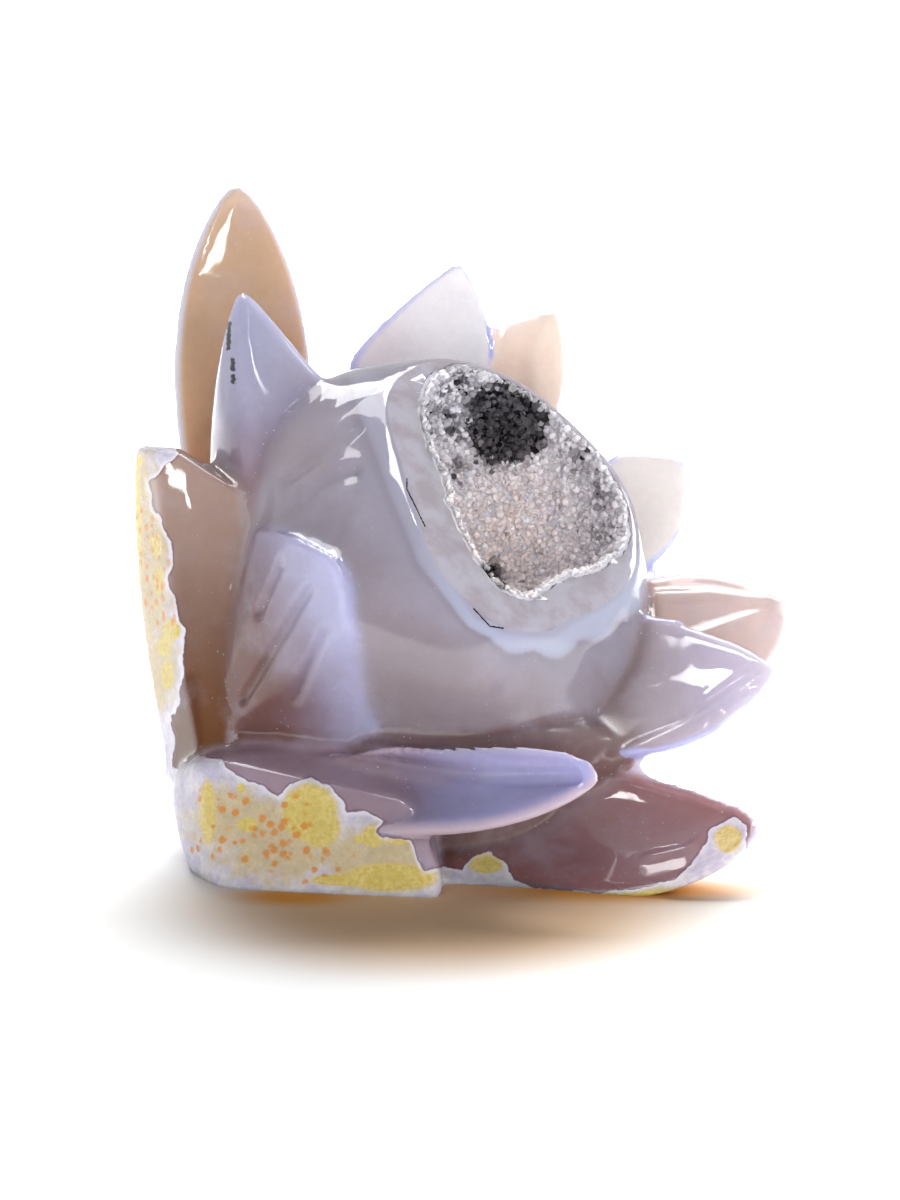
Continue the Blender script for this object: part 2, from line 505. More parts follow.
class PetalForm:
    """A petal's skin, ready to be read at any point of it."""

    def __init__(self, petal):
        self.petal = petal
        self.root, self.tip, self.left, self.right = (
            Vector(corner) for corner in (petal.root, petal.tip, petal.left, petal.right)
        )
        self.length = self.tip - self.root
        self.facing = (self.right - self.left).cross(self.length).normalized()
        self.sides = [
            self.side(corner, fullness) for corner, fullness in zip((self.left, self.right), petal.full)
        ]

    def spine(self, share):
        bow = self.petal.belly * 4 * share * (1 - share)
        return self.root + self.length * share + self.facing * bow

    def side(self, corner, fullness):
        share = (corner - self.root).dot(self.length) / self.length.length_squared
        widest = min(WIDEST_TO, max(WIDEST_FROM, share))
        return corner - self.spine(widest), widest, fullness

    def reaches(self, along):
        return [
            reach * side_outline(min(along, 1.0), widest, self.petal.base, fullness, self.petal.blunt)
            for reach, widest, fullness in self.sides
        ]

    def point(self, along, across, through):
        """The skin's point: along from 0 to 1, across from -1 to 1, through from -1 (outer) to 1."""
        petal = self.petal
        to_left, to_right = self.reaches(along)
        sideways = (to_right - to_left) / 2
        fold = (to_right + to_left) / 2
        half = petal.thick / 2 * (1 - TIP_THINNING * along ** 3)
        scoop = 0.0
        if through > 0:
            inward = self.from_edge(along, across)
            scoop = petal.rim * float(smoothstep(inward, petal.band, petal.band + RIM_STEP))
        depth = abs(through) * (math.sqrt(1 + across ** 2) * half - scoop)
        return (
            self.spine(along)
            + sideways * across
            + fold * abs(across) ** petal.crease
            + self.facing * math.copysign(depth, through)
        )

    def from_edge(self, along, across):
        """How far a point is from the petal's outline, in millimetres."""
        to_left, to_right = self.reaches(along)
        sideways = (to_right - to_left).length / 2 * (1 - abs(across))
        return min(sideways, (1 - along) * self.length.length * TIP_SHARE, FAR_FROM_EDGE)


def reach_at(reaches, angle):
    """The reach at an angle round the axis, on a smooth curve through a table of reaches."""
    count = len(reaches)
    place = angle / math.tau * count
    start = math.floor(place)
    share = place - start
    before, here, after, beyond = (reaches[(start + step) % count] for step in (-1, 0, 1, 2))
    bend = 2 * before - 5 * here + 4 * after - beyond
    twist = 3 * here - before - 3 * after + beyond
    return here + share / 2 * (after - before + share * (bend + share * twist))


def axis_sides():
    """The two directions sideways from the flower's axis that angles round it are counted from and to."""
    along = AXIS.cross(Vector((0, 0, 1))).normalized()
    return along, AXIS.cross(along)


def axis_point(height, sideways, angle):
    """A point of the carver's view, by its height on the flower's axis and its way sideways from it."""
    along, over = axis_sides()
    return BUD_CENTRE + AXIS * height + (along * math.cos(angle) + over * math.sin(angle)) * sideways


def bud_rise(angle):
    """The bud's greatest reach at an angle round its axis, and its rise from there if it weren't sawn off."""
    widest, sawn = reach_at(BUD_REACHES, angle), reach_at(SAWN_REACHES, angle)
    return widest, (SAWN_HEIGHT - WIDEST_HEIGHT) / math.sqrt(1 - (sawn / widest) ** 2)


def bud_point(direction):
    """The bud's skin in a direction, the third part along the axis. Its top passes through SAWN_REACHES."""
    x, y, z = direction
    angle = math.atan2(y, x)
    widest, rise = bud_rise(angle)
    height = WIDEST_HEIGHT + z * (rise if z > 0 else BUD_DEPTH)
    return axis_point(height, widest * math.hypot(x, y), angle)


def hollow_point(direction, inset=0.0):
    """The hollow's wall, moved in by inset, in a direction from the middle of its mouth."""
    x, y, z = direction
    angle = math.atan2(y, x)
    reach = reach_at(MOUTH_REACHES, angle) - inset
    return axis_point(SAWN_HEIGHT + z * (HOLLOW_DEPTH - inset), reach * math.hypot(x, y), angle)


def ragged(point):
    """A small uneven shift for the hollow's wall, in millimetres."""
    return sum(depth * noise.noise(point * fineness) for fineness, depth in RAGGEDNESS)


# The stone's mesh

def finished(name, mesh):
    """A bmesh as mesh data. The bmesh itself is freed."""
    data = bpy.data.meshes.new(name)
    mesh.to_mesh(data)
    mesh.free()
    return data


def start_form():
    """A new bmesh with the layers that carry a form's colours and its number."""
    mesh = bmesh.new()
    for name in ("deep", "clear", "rim"):
        mesh.verts.layers.float_color.new(name)
    mesh.verts.layers.float.new("edge")
    mesh.verts.layers.int.new("form")
    return mesh


def paint(mesh, number, tint, read):
    """Gives each vertex its form's colours. read tells how far along it is, and how far from an edge."""
    layers = mesh.verts.layers
    deep, clear, rim = (layers.float_color[name] for name in ("deep", "clear", "rim"))
    edge, form = layers.float["edge"], layers.int["form"]
    root, tip, thin, border = (Vector((*linear(code), 1)) for code in tint)
    for vertex in mesh.verts:
        along, from_edge = read(vertex)
        vertex[deep] = root.lerp(tip, float(smoothstep(along, 0.1, 0.9)))
        vertex[clear] = thin
        vertex[rim] = border
        vertex[edge] = from_edge
        vertex[form] = number


def saw_off(mesh, point, direction):
    """Takes off what a closed mesh has beyond a plane, and closes the cut."""
    whole = mesh.verts[:] + mesh.edges[:] + mesh.faces[:]
    bmesh.ops.bisect_plane(
        mesh,
        geom=whole,
        plane_co=view_to_world(point),
        plane_no=view_normal(direction),
        clear_outer=True,
    )
    rim = [edge for edge in mesh.edges if edge.is_boundary]
    bmesh.ops.contextual_create(mesh, geom=rim)


def petal_solid(petal, number):
    form = PetalForm(petal)
    mesh = start_form()
    bmesh.ops.create_uvsphere(mesh, u_segments=PETAL_AROUND, v_segments=PETAL_ALONG, radius=1)
    places = {}
    for vertex in mesh.verts:
        angle = math.atan2(vertex.co.y, vertex.co.x)
        along = math.acos(max(-1, min(1, -vertex.co.z))) / math.pi
        across = math.cos(angle)
        places[vertex] = along, form.from_edge(along, across)
        vertex.co = view_to_world(form.point(along, across, math.sin(angle)))
    paint(mesh, number, TINTS.get(petal.name, TINTS["back"]), places.get)
    for point, direction in petal.cuts:
        saw_off(mesh, point, direction)
    return mesh


def rise_reader(name):
    """Reads a vertex of a form without a tip: how far along its colours it is, with no edge near."""
    start, end = (np.array(place) for place in RISES[name])
    way = end - start

    def read(vertex):
        place = world_to_view(np.array([vertex.co]))[0, :2]
        return (place - start) @ way / (way @ way), FAR_FROM_EDGE

    return read


def heart_solid(middle, radii, number):
    mesh = start_form()
    bmesh.ops.create_uvsphere(mesh, u_segments=HEART_AROUND, v_segments=HEART_ALONG, radius=1)
    for vertex in mesh.verts:
        vertex.co = view_to_world(middle + vertex.co * radii)
    paint(mesh, number, TINTS["heart"], rise_reader("heart"))
    return mesh


def bud_solid(number):
    """The bud with its top sawn off. The face is cut up, so that colours are read from nearby corners."""
    mesh = start_form()
    bmesh.ops.create_uvsphere(mesh, u_segments=BUD_AROUND, v_segments=BUD_ALONG, radius=1)
    for vertex in mesh.verts:
        vertex.co = view_to_world(bud_point(vertex.co))
    saw_off(mesh, BUD_CENTRE + AXIS * SAWN_HEIGHT, AXIS)
    top = max(mesh.faces, key=lambda face: len(face.verts))
    bmesh.ops.poke(mesh, faces=[top])
    spokes = [edge for edge in mesh.edges if edge.calc_length() > SPOKE_LENGTH * MM]
    bmesh.ops.subdivide_edges(mesh, edges=spokes, cuts=SPOKE_CUTS, use_grid_fill=True)
    paint(mesh, number, TINTS["bud"], rise_reader("bud"))
    return mesh


def block_solid(name, corners, number):
    """A hull round some corners with its edges rounded, and its faces cut up likewise."""
    mesh = start_form()
    for corner in corners:
        mesh.verts.new(view_to_world(corner))
    hull = bmesh.ops.convex_hull(mesh, input=mesh.verts)
    bmesh.ops.delete(mesh, geom=hull["geom_interior"], context="VERTS")
    bmesh.ops.dissolve_limit(mesh, angle_limit=BLOCK_FLATNESS, verts=mesh.verts, edges=mesh.edges)
    bmesh.ops.bevel(
        mesh,
        geom=mesh.edges[:],
        offset=BLOCK_BEVEL * MM,
        segments=BLOCK_BEVEL_SEGMENTS,
        profile=0.5,
        affect="EDGES",
        clamp_overlap=True,
        material=-1,
    )
    bmesh.ops.triangulate(mesh, faces=mesh.faces)
    for _ in range(BLOCK_SUBDIVISIONS):
        long_edges = [edge for edge in mesh.edges if edge.calc_length() > BLOCK_EDGE * MM]
        bmesh.ops.subdivide_edges(mesh, edges=long_edges, cuts=1)
        bmesh.ops.triangulate(mesh, faces=mesh.faces)
    paint(mesh, number, TINTS[name], rise_reader(name))
    return mesh


def add_form(whole, mesh):
    """Adds a finished form to the whole, as one more closed shell."""
    bmesh.ops.recalc_face_normals(mesh, faces=mesh.faces)
    data = finished("form", mesh)
    whole.from_mesh(data)
    bpy.data.meshes.remove(data)


# The forms' names, in the order of the numbers that all_forms gives them
FORM_NAMES = ["bud"] + ["heart"] * len(HEARTS) + [petal.name for petal in PETALS] + list(BLOCKS)


def all_forms():
    """Every form of the flower as closed shells in one mesh, with their colours."""
    makers = (
        [(bud_solid, ())]
        + [(heart_solid, heart) for heart in HEARTS]
        + [(petal_solid, (petal,)) for petal in PETALS]
        + [(block_solid, block) for block in BLOCKS.items()]
    )
    whole = start_form()
    for number, (make, shape) in enumerate(makers):
        add_form(whole, make(*shape, number))
    bmesh.ops.triangulate(whole, faces=whole.faces)
    return finished("forms", whole)


def settled(data, name, add_modifiers):
    """A mesh as its modifiers leave it."""
    thing = bpy.data.objects.new(name, data)
    bpy.context.scene.collection.objects.link(thing)
    add_modifiers(thing)
    depsgraph = bpy.context.evaluated_depsgraph_get()
    result = bpy.data.meshes.new_from_object(thing.evaluated_get(depsgraph), depsgraph=depsgraph)
    bpy.data.objects.remove(thing)
    return result


def read_rows(items, name, width, kind=float):
    """What each of a mesh's items has under a name, as the rows of an array."""
    values = np.empty(len(items) * width, dtype=kind)
    items.foreach_get(name, values)
    return values.reshape(-1, width)


def read_points(data):
    return read_rows(data.vertices, "co", 3)


def read_normals(data):
    return read_rows(data.vertex_normals, "vector", 3)


def edges_of(data):
    return read_rows(data.edges, "vertices", 2, int)


def move_points(data, points):
    data.vertices.foreach_set("co", points.ravel())
    data.update()


def from_path(places, points):
    """How far each place of the picture plane is from a path through some points."""
    nearest = np.full(len(places), np.inf)
    for start, end in zip(points, points[1:]):
        start, way = np.array(start), np.array(end) - np.array(start)
        share = np.clip((places - start) @ way / (way @ way), 0, 1)
        distance = np.linalg.norm(places - start - share[:, None] * way, axis=1)
        nearest = np.minimum(nearest, distance)
    return nearest


def inside_outline(places, outline):
    """How far inside an outline each place of the picture plane is, negative outside it."""
    closed = list(outline) + [outline[0]]
    inside = np.zeros(len(places), dtype=bool)
    for (x1, y1), (x2, y2) in zip(closed, closed[1:]):
        if y1 == y2:
            continue
        crosses = (places[:, 1] > y1) != (places[:, 1] > y2)
        inside ^= crosses & (places[:, 0] < x1 + (places[:, 1] - y1) * (x2 - x1) / (y2 - y1))
    distance = from_path(places, closed)
    return np.where(inside, distance, -distance)


def round_axis(view):
    """Points' heights on the flower's axis, and their two ways sideways from it."""
    offset = view - np.array(BUD_CENTRE)
    along, over = axis_sides()
    return (offset @ np.array(way) for way in (AXIS, along, over))


def beyond_sawn_edge(view):
    """How far points of the bud are from the sawn face's edge, in millimetres: below 0 on the face."""
    height, x, y = round_axis(view)
    sideways = np.hypot(x, y)
    sawn = np.array([reach_at(SAWN_REACHES, angle) for angle in np.arctan2(y, x)])
    drop = np.maximum(0, SAWN_HEIGHT - height)
    outward = np.hypot(np.maximum(sideways - sawn, 0), drop)
    return np.where(drop > ON_SAWN_FACE, outward, sideways - sawn)


def on_bud_skin(view):
    """How much points belong to the bud's round skin, clear of the sawn face's edge."""
    height, x, y = round_axis(view)
    away = np.zeros(len(view))
    for place in np.flatnonzero((height > BUD_EVENED_FROM) & (height < SAWN_HEIGHT - 0.3)):
        widest, rise = bud_rise(math.atan2(y[place], x[place]))
        up = max(0.0, height[place] - WIDEST_HEIGHT) / rise
        away[place] = math.hypot(x[place], y[place]) - widest * math.sqrt(1 - up * up)
    near = 1 - smoothstep(np.abs(away), *NEAR_THE_BUD)
    high = smoothstep(height, BUD_EVENED_FROM, BUD_EVENED_FROM + BUD_FADE)
    return near * high * smoothstep(beyond_sawn_edge(view), *CLEAR_OF_EDGE)


def polish(data):
    """Takes the steps out of the sharp edges, and the ripples out of the bud's skin."""
    points = read_points(data)
    ends = edges_of(data)
    sharp = spread(np.abs(hollowness(points, read_normals(data), ends)), ends, CREASE_BLUR)
    edges = smoothstep(sharp, *SHARPNESS)
    bud = on_bud_skin(world_to_view(points))
    for share, rounds in ((edges, EDGE_ROUNDS), (bud, BUD_ROUNDS)):
        for _ in range(rounds):
            points += (spread_rows(points, ends, 1) - points) * share[:, None]
    move_points(data, points)


def carve(data):
    """Presses the carved strokes into the side that the viewer sees."""
    points = read_points(data)
    view = world_to_view(points)
    seen = on_picture(view)
    ends = edges_of(data)
    normals = spread_rows(read_normals(data), ends, STROKE_BLUR)
    normals /= np.linalg.norm(normals, axis=1, keepdims=True)
    facing = normals @ np.array(view_normal((0, 0, 1)))
    shift = np.zeros(len(points))
    for stroke in STROKES:
        share = 1 - smoothstep(from_path(seen, stroke.points), 0, stroke.reach)
        low, high = stroke.near
        there = (view[:, 2] > low) & (view[:, 2] < high)
        shift += np.where(there, stroke.height * share, 0)
    shift = spread(shift * smoothstep(facing, 0.0, 0.3), ends, STROKE_BLUR)
    move_points(data, points + normals * (shift * MM)[:, None])


def refine_skin(data):
    """Splits the long edges under the nodule's skin, so that its spots keep their outlines."""
    mesh = bmesh.new()
    mesh.from_mesh(data)
    for _ in range(SKIN_SPLITS):
        bmesh.ops.triangulate(mesh, faces=[face for face in mesh.faces if len(face.verts) > 3])
        mesh.verts.ensure_lookup_table()
        seen = on_picture(world_to_view(np.array([vertex.co[:] for vertex in mesh.verts])))
        depths = [inside_outline(seen, outline) for outline in RIND_AREAS.values()]
        under = np.max(depths, axis=0) > -SKIN_MARGIN
        long_edges = [
            edge for edge in mesh.edges
            if edge.calc_length() > SKIN_EDGE * MM and all(under[vertex.index] for vertex in edge.verts)
        ]
        bmesh.ops.subdivide_edges(mesh, edges=long_edges, cuts=1)
    bmesh.ops.triangulate(mesh, faces=[face for face in mesh.faces if len(face.verts) > 3])
    mesh.to_mesh(data)
    mesh.free()


def hollow_cutter():
    mesh = bmesh.new()
    bmesh.ops.create_icosphere(mesh, subdivisions=HOLLOW_SUBDIVISIONS, radius=1)
    for vertex in mesh.verts:
        point = hollow_point(vertex.co)
        vertex.co = view_to_world(hollow_point(vertex.co, -ragged(point)))
    return mesh


def ground_cutter():
    mesh = bmesh.new()
    bmesh.ops.create_cube(mesh, size=GROUND_SIZE * MM)
    bmesh.ops.translate(mesh, verts=mesh.verts, vec=(0, 0, -GROUND_SIZE / 2 * MM))
    return mesh


def plain_object(name, mesh):
    bmesh.ops.recalc_face_normals(mesh, faces=mesh.faces)
    thing = bpy.data.objects.new(name, finished(name, mesh))
    bpy.context.scene.collection.objects.link(thing)
    return thing


def give_values(data, name, values):
    """Stores one number for each vertex under a name that a material can read."""
    layer = data.attributes.new(name, "FLOAT", "POINT")
    layer.data.foreach_set("value", np.asarray(values, dtype=np.float32))


def give_colours(data, name, colours):
    layer = data.attributes.new(name, "FLOAT_COLOR", "POINT")
    full = np.ones((len(colours), 4), dtype=np.float32)
    full[:, :3] = colours
    layer.data.foreach_set("color", full.ravel())


def carry_over(forms, points, ends):
    """The colours, edges and number of the form that is nearest to each point."""
    corners = np.array([face.vertices[:] for face in forms.polygons])
    tree = BVHTree.FromPolygons([vertex.co[:] for vertex in forms.vertices], corners.tolist())
    hits = [tree.find_nearest(point) for point in points]
    found = corners[[hit[2] for hit in hits]]
    spots = np.array([hit[0][:] for hit in hits])
    vertices = read_points(forms)
    away = np.linalg.norm(vertices[found] - spots[:, None, :], axis=2)
    weights = 1 / (away + CORNER_BLUR) ** 2
    weights /= weights.sum(axis=1, keepdims=True)
    carried = {}
    for name in ("deep", "clear", "rim"):
        layer = read_rows(forms.attributes[name].data, "color", 4)[:, :3]
        colours = (layer[found] * weights[:, :, None]).sum(axis=1)
        carried[name] = spread_rows(colours, ends, COLOUR_BLUR)
    edge, form = (read_rows(forms.attributes[name].data, "value", 1)[:, 0] for name in ("edge", "form"))
    carried["edge"] = spread((edge[found] * weights).sum(axis=1), ends, 1)
    carried["form"] = form.astype(int)[found[:, 0]]
    return carried


def over_neighbours(values, ends):
    """The sum of a value over each vertex's neighbours."""
    first, second = ends[:, 0], ends[:, 1]
    total = np.bincount(first, weights=values[second], minlength=len(values))
    return total + np.bincount(second, weights=values[first], minlength=len(values))


def spread(values, ends, rounds):
    """Values evened out along a mesh's edges."""
    links = np.bincount(ends.ravel(), minlength=len(values))
    for _ in range(rounds):
        values = (values + over_neighbours(values, ends)) / (1 + links)
    return values


def spread_rows(rows, ends, rounds):
    """Points, directions or colours evened out along a mesh's edges."""
    return np.stack([spread(column, ends, rounds) for column in rows.T], axis=1)


def thickness(data, points, normals):
    """How thick the stone is below each vertex, in millimetres."""
    faces = [tuple(face.vertices) for face in data.polygons]
    tree = BVHTree.FromPolygons([tuple(point) for point in points], faces)
    depths = np.empty(len(points))
    for place, (point, normal) in enumerate(zip(points, normals)):
        start = Vector(point) - Vector(normal) * THROUGH_START * MM
        distance = tree.ray_cast(start, -Vector(normal), THROUGH_REACH * MM)[3]
        depths[place] = THROUGH_REACH * MM if distance is None else distance
    return depths / MM


def hollowness(points, normals, ends):
    """How much the surface cups inward at each vertex: above 0 in a crease, below 0 on a ridge."""
    links = np.bincount(ends.ravel(), minlength=len(points))
    middle = np.stack([over_neighbours(column, ends) for column in points.T], axis=1) / links[:, None]
    length = np.linalg.norm(points[ends[:, 0]] - points[ends[:, 1]], axis=1).mean()
    return ((middle - points) * normals).sum(axis=1) / length


def spot_field(places, spots):
    """1 in the middle of a spot, 0 on its outline and less beyond."""
    field = np.full(len(places), OUTSIDE_MARKS)
    for right, up, half_width, half_height in spots:
        away = np.hypot((places[:, 0] - right) / half_width, (places[:, 1] - up) / half_height)
        field = np.maximum(field, 1 - away)
    return field


def across_seam(places):
    """How far places of the picture plane are from the seam, as a share of its half width there."""
    nearest = np.full(len(places), np.inf)
    result = np.full(len(places), np.inf)
    passed = 0.0
    for start, end in zip(SEAM, SEAM[1:]):
        way = np.array(end[:2]) - np.array(start[:2])
        length = np.hypot(*way)
        offset = places - np.array(start[:2])
        share = np.clip(offset @ way / length ** 2, 0, 1)
        away = np.linalg.norm(offset - share[:, None] * way, axis=1)
        outward = (offset[:, 0] * way[1] - offset[:, 1] * way[0]) / length
        half = start[2] + (end[2] - start[2]) * share
        wave = np.abs(np.sin(math.pi * (passed + share * length) / SCALLOP_LENGTH))
        below = smoothstep(places[:, 0], SCALLOPS_FROM, 2 * SCALLOPS_FROM)
        reach = np.where(outward > 0, half + SCALLOP_DEPTH * (wave - 0.5) * below, half)
        signed = np.where(outward > 0, away, -away) / reach
        closer = away < nearest
        nearest = np.where(closer, away, nearest)
        result = np.where(closer, signed, result)
        passed += length
    return result


def skin_field(seen, names, ends):
    """How far inside the nodule's skin each vertex is, negative outside it."""
    field = np.full(len(seen), OUTSIDE_MARKS)
    for name, outline in RIND_AREAS.items():
        member = spread(np.isin(names, RIND_FORMS[name]).astype(float), ends, 2)
        area = np.minimum(inside_outline(seen, outline), (member - 0.5) * 2)
        field = np.maximum(field, np.where(member > 0.1, area, field))
    return field


def describe(data, forms):
    """Writes on each vertex what the agate's material reads."""
    points = read_points(data)
    normals = read_normals(data)
    ends = edges_of(data)
    view = world_to_view(points)
    seen = on_picture(view)
    carried = carry_over(forms, points, ends)
    depth = spread(thickness(data, points, normals), ends, DEPTH_BLUR)
    through = np.exp(-depth / CLEAR_DEPTH)[:, None]
    stone = carried["deep"] * (1 - through) + carried["clear"] * through
    shaded = smoothstep(inside_outline(seen, LEFT_ROOT), -1.0, 0.5) * smoothstep(-normals[:, 0], 0.1, 0.5)
    give_colours(data, "stone", stone * (1 - np.array(LEFT_ROOT_SHADE) * shaded[:, None]))
    give_values(data, "dull", smoothstep(spot_field(seen, DULL_SPOTS), -0.7, 0.7))
    give_colours(data, "border", carried["rim"])
    give_values(data, "edge", carried["edge"])
    give_values(data, "crease", spread(hollowness(points, normals, ends), ends, CREASE_BLUR))
    names = np.array(FORM_NAMES)[carried["form"]]
    give_values(data, "rind", skin_field(seen, names, ends))
    give_values(data, "yellow", spot_field(seen, YELLOW_SPOTS))
    give_values(data, "orange", spot_field(seen, ORANGE_ZONES))
    give_values(data, "sallow", spot_field(seen, PALE_YELLOW_ZONES))
    facing = smoothstep(normals @ np.array(view_normal((0, 0, 1))), 0.0, 0.1)
    give_values(data, "ridge", (names == "left_ridge") * facing)
    give_values(data, "bud", spread((names == "bud").astype(float), ends, 1))
    give_values(data, "sawn", np.where(names == "bud", beyond_sawn_edge(view), OFF_THE_BUD))
    give_values(data, "seam", across_seam(seen))
    give_values(data, "crisp", SEAM_FAINT + (1 - SEAM_FAINT) * smoothstep(seen[:, 0], CRISP_FROM, CRISP_TO))


# The druse

def bowl_mesh(inset, roughness):
    """The hollow's wall up to the crust's rim, moved in by inset and made uneven."""
    ball = bmesh.new()
    bmesh.ops.create_icosphere(ball, subdivisions=HOLLOW_SUBDIVISIONS, radius=1)
    whole = ball.verts[:] + ball.edges[:] + ball.faces[:]
    bmesh.ops.bisect_plane(ball, geom=whole, plane_co=(0, 0, CRUST_RIM), plane_no=(0, 0, 1), clear_outer=True)
    for vertex in ball.verts:
        point = hollow_point(vertex.co)
        bump = roughness * noise.noise(point * CRUST_FINENESS)
        vertex.co = view_to_world(hollow_point(vertex.co, inset + bump - ragged(point)))
    return finished("bowl", ball)


def wall_place(direction, inset):
    """A point of the hollow's wall and the direction straight off it, in the standing frame."""
    def wall(way):
        return view_to_world(hollow_point(way, inset - ragged(hollow_point(way))))

    here = wall(direction)
    side = direction.orthogonal().normalized()
    ways = (side, direction.cross(side))
    first, second = (wall((direction + way * ASIDE).normalized()) - here for way in ways)
    return here, -first.cross(second).normalized()


def crystal_directions(count, chance):
    """Directions round the hollow's mouth, then spread evenly over its half ball, each shaken a little."""
    for number in range(RIM_CRYSTALS):
        angle = math.tau * (number + chance.random()) / RIM_CRYSTALS
        yield Vector((math.cos(angle), math.sin(angle), chance.uniform(*RIM_SPREAD))).normalized()
    golden = math.pi * (3 - math.sqrt(5))
    step = math.sqrt(math.tau / count)
    for number in range(count):
        z = CRUST_RIM - (1 + CRUST_RIM) * (number + 0.5) / count
        angle = golden * number
        flat = math.sqrt(1 - z * z)
        direction = Vector((flat * math.cos(angle), flat * math.sin(angle), z))
        shake = Vector([chance.uniform(-0.5, 0.5) * step for _ in range(3)])
        direction = (direction + shake).normalized()
        direction.z = min(direction.z, CRUST_RIM)
        yield direction.normalized()


def darkness_at(place):
    """How much manganese the druse has at a place of the picture plane."""
    dark = 0.0
    for right, up, reach, strength in DARK_PATCHES:
        away = math.hypot(place[0] - right, place[1] - up) / reach
        dark = max(dark, strength * (1 - away))
    return dark


def stain(dark):
    """How dark with manganese a point gets, from 0 to 1."""
    return max(0.0, min(1.0, dark * DARK_CONTRAST - DARK_LOSS))


def prism(mesh, place, off, settings, chance):
    """A six-sided crystal that stands about square on the wall, and the face at its outer end."""
    lean = Vector([chance.gauss(0, CRYSTAL_LEAN) for _ in range(3)])
    up = (off + lean).normalized()
    radius = settings.crystal_size * chance.uniform(*CRYSTAL_RADII)
    height = radius * chance.uniform(*CRYSTAL_HEIGHTS)
    turn = Matrix.Rotation(chance.uniform(0, math.tau), 4, "Z")
    corners = bmesh.ops.create_cone(
        mesh,
        cap_ends=True,
        segments=CRYSTAL_SIDES,
        radius1=radius,
        radius2=radius * chance.uniform(*CRYSTAL_TAPER),
        depth=height,
        matrix=Matrix.Translation(place) @ up.to_track_quat("Z", "Y").to_matrix().to_4x4() @ turn,
    )["verts"]
    caps = {face for corner in corners for face in corner.link_faces if len(face.verts) == CRYSTAL_SIDES}
    return corners, max(caps, key=lambda face: (face.calc_center_median() - place).dot(up))


def crystal_colour(shades, seen, on_rim, chance):
    """Clear, rosy or dark with manganese, by where the viewer sees the crystal, and here and there white."""
    pale, deep, rose, black = shades
    wobble = DARK_WOBBLE * noise.noise(Vector((seen[0], seen[1], 0)) * WOBBLE_FINENESS)
    dark = stain(darkness_at(seen) + wobble + chance.gauss(0, DARK_SCATTER))
    shade = pale.lerp(deep, chance.random())
    shade = shade.lerp(rose, max(0.0, 1 - math.hypot(*(seen - ROSE_MIDDLE)) / ROSE_REACH))
    colour = shade.lerp(black, dark * chance.uniform(*DARK_SHARES))
    if on_rim:
        return colour.lerp(WHITE_QUARTZ, RIM_FROST)
    return WHITE_QUARTZ if chance.random() < WHITE_SHARE * (1 - dark) else colour


def raise_tips(mesh, tops, grain, chance):
    """Raises a tip on each crystal's outer face, a little off its middle."""
    for point in bmesh.ops.poke(mesh, faces=tops)["verts"]:
        crown = [edge.other_vert(point) for edge in point.link_edges]
        middle = point.co.copy()
        size = (crown[0].co - middle).length
        off = (crown[0].co - middle).cross(crown[1].co - middle).normalized()
        base = sum((vertex.co for vertex in crown[0].link_edges[0].verts), Vector()) / 2
        if off.dot(middle - base) < 0:
            off = -off
        shift = (crown[0].co - middle) * chance.uniform(*TIP_SHIFT)
        point.co = middle + off * size * chance.uniform(*TIP_HEIGHTS) + shift
        point[grain] = crown[0][grain]


def crystal_batches(settings):
    """Small meshes of quartz points with their colours."""
    chance = Random(CRYSTAL_SEED)
    colours = (settings.quartz, settings.quartz_deep, settings.rose, settings.dark)
    shades = [Vector((*colour, 1)) for colour in colours]
    directions = list(crystal_directions(settings.crystals, chance))
    for start in range(0, len(directions), CRYSTALS_IN_A_BATCH):
        mesh = bmesh.new()
        grain = mesh.verts.layers.float_color.new("grain")
        tops = []
        batch = directions[start:start + CRYSTALS_IN_A_BATCH]
        for number, direction in enumerate(batch, start):
            place, off = wall_place(direction, CRUST_GAP + CRUST_THICKNESS)
            corners, top = prism(mesh, place, off, settings, chance)
            tops.append(top)
            seen = on_picture(world_to_view(np.array([place])))[0]
            colour = crystal_colour(shades, seen, number < RIM_CRYSTALS, chance)
            for corner in corners:
                corner[grain] = colour
        raise_tips(mesh, tops, grain, chance)
        bmesh.ops.recalc_face_normals(mesh, faces=mesh.faces)
        yield finished("crystals", mesh)


def crust_mesh(settings):
    """The bowl of quartz and the points that stand on it."""
    mesh = bmesh.new()
    grain = mesh.verts.layers.float_color.new("grain")
    mesh.from_mesh(bowl_mesh(CRUST_GAP, 0.0))
    mesh.from_mesh(bowl_mesh(CRUST_GAP + CRUST_THICKNESS, CRUST_ROUGHNESS))
    rims = [edge for edge in mesh.edges if edge.is_boundary]
    bmesh.ops.bridge_loops(mesh, edges=rims)
    bmesh.ops.recalc_face_normals(mesh, faces=mesh.faces)
    pale, black = (Vector((*colour, 1)) for colour in (settings.quartz_deep, settings.dark))
    for vertex in mesh.verts:
        seen = on_picture(world_to_view(np.array([vertex.co])))[0]
        vertex[grain] = pale.lerp(black, stain(darkness_at(seen)))
    for batch in crystal_batches(settings):
        mesh.from_mesh(batch)
        bpy.data.meshes.remove(batch)
    return finished("druse", mesh)


# Materials

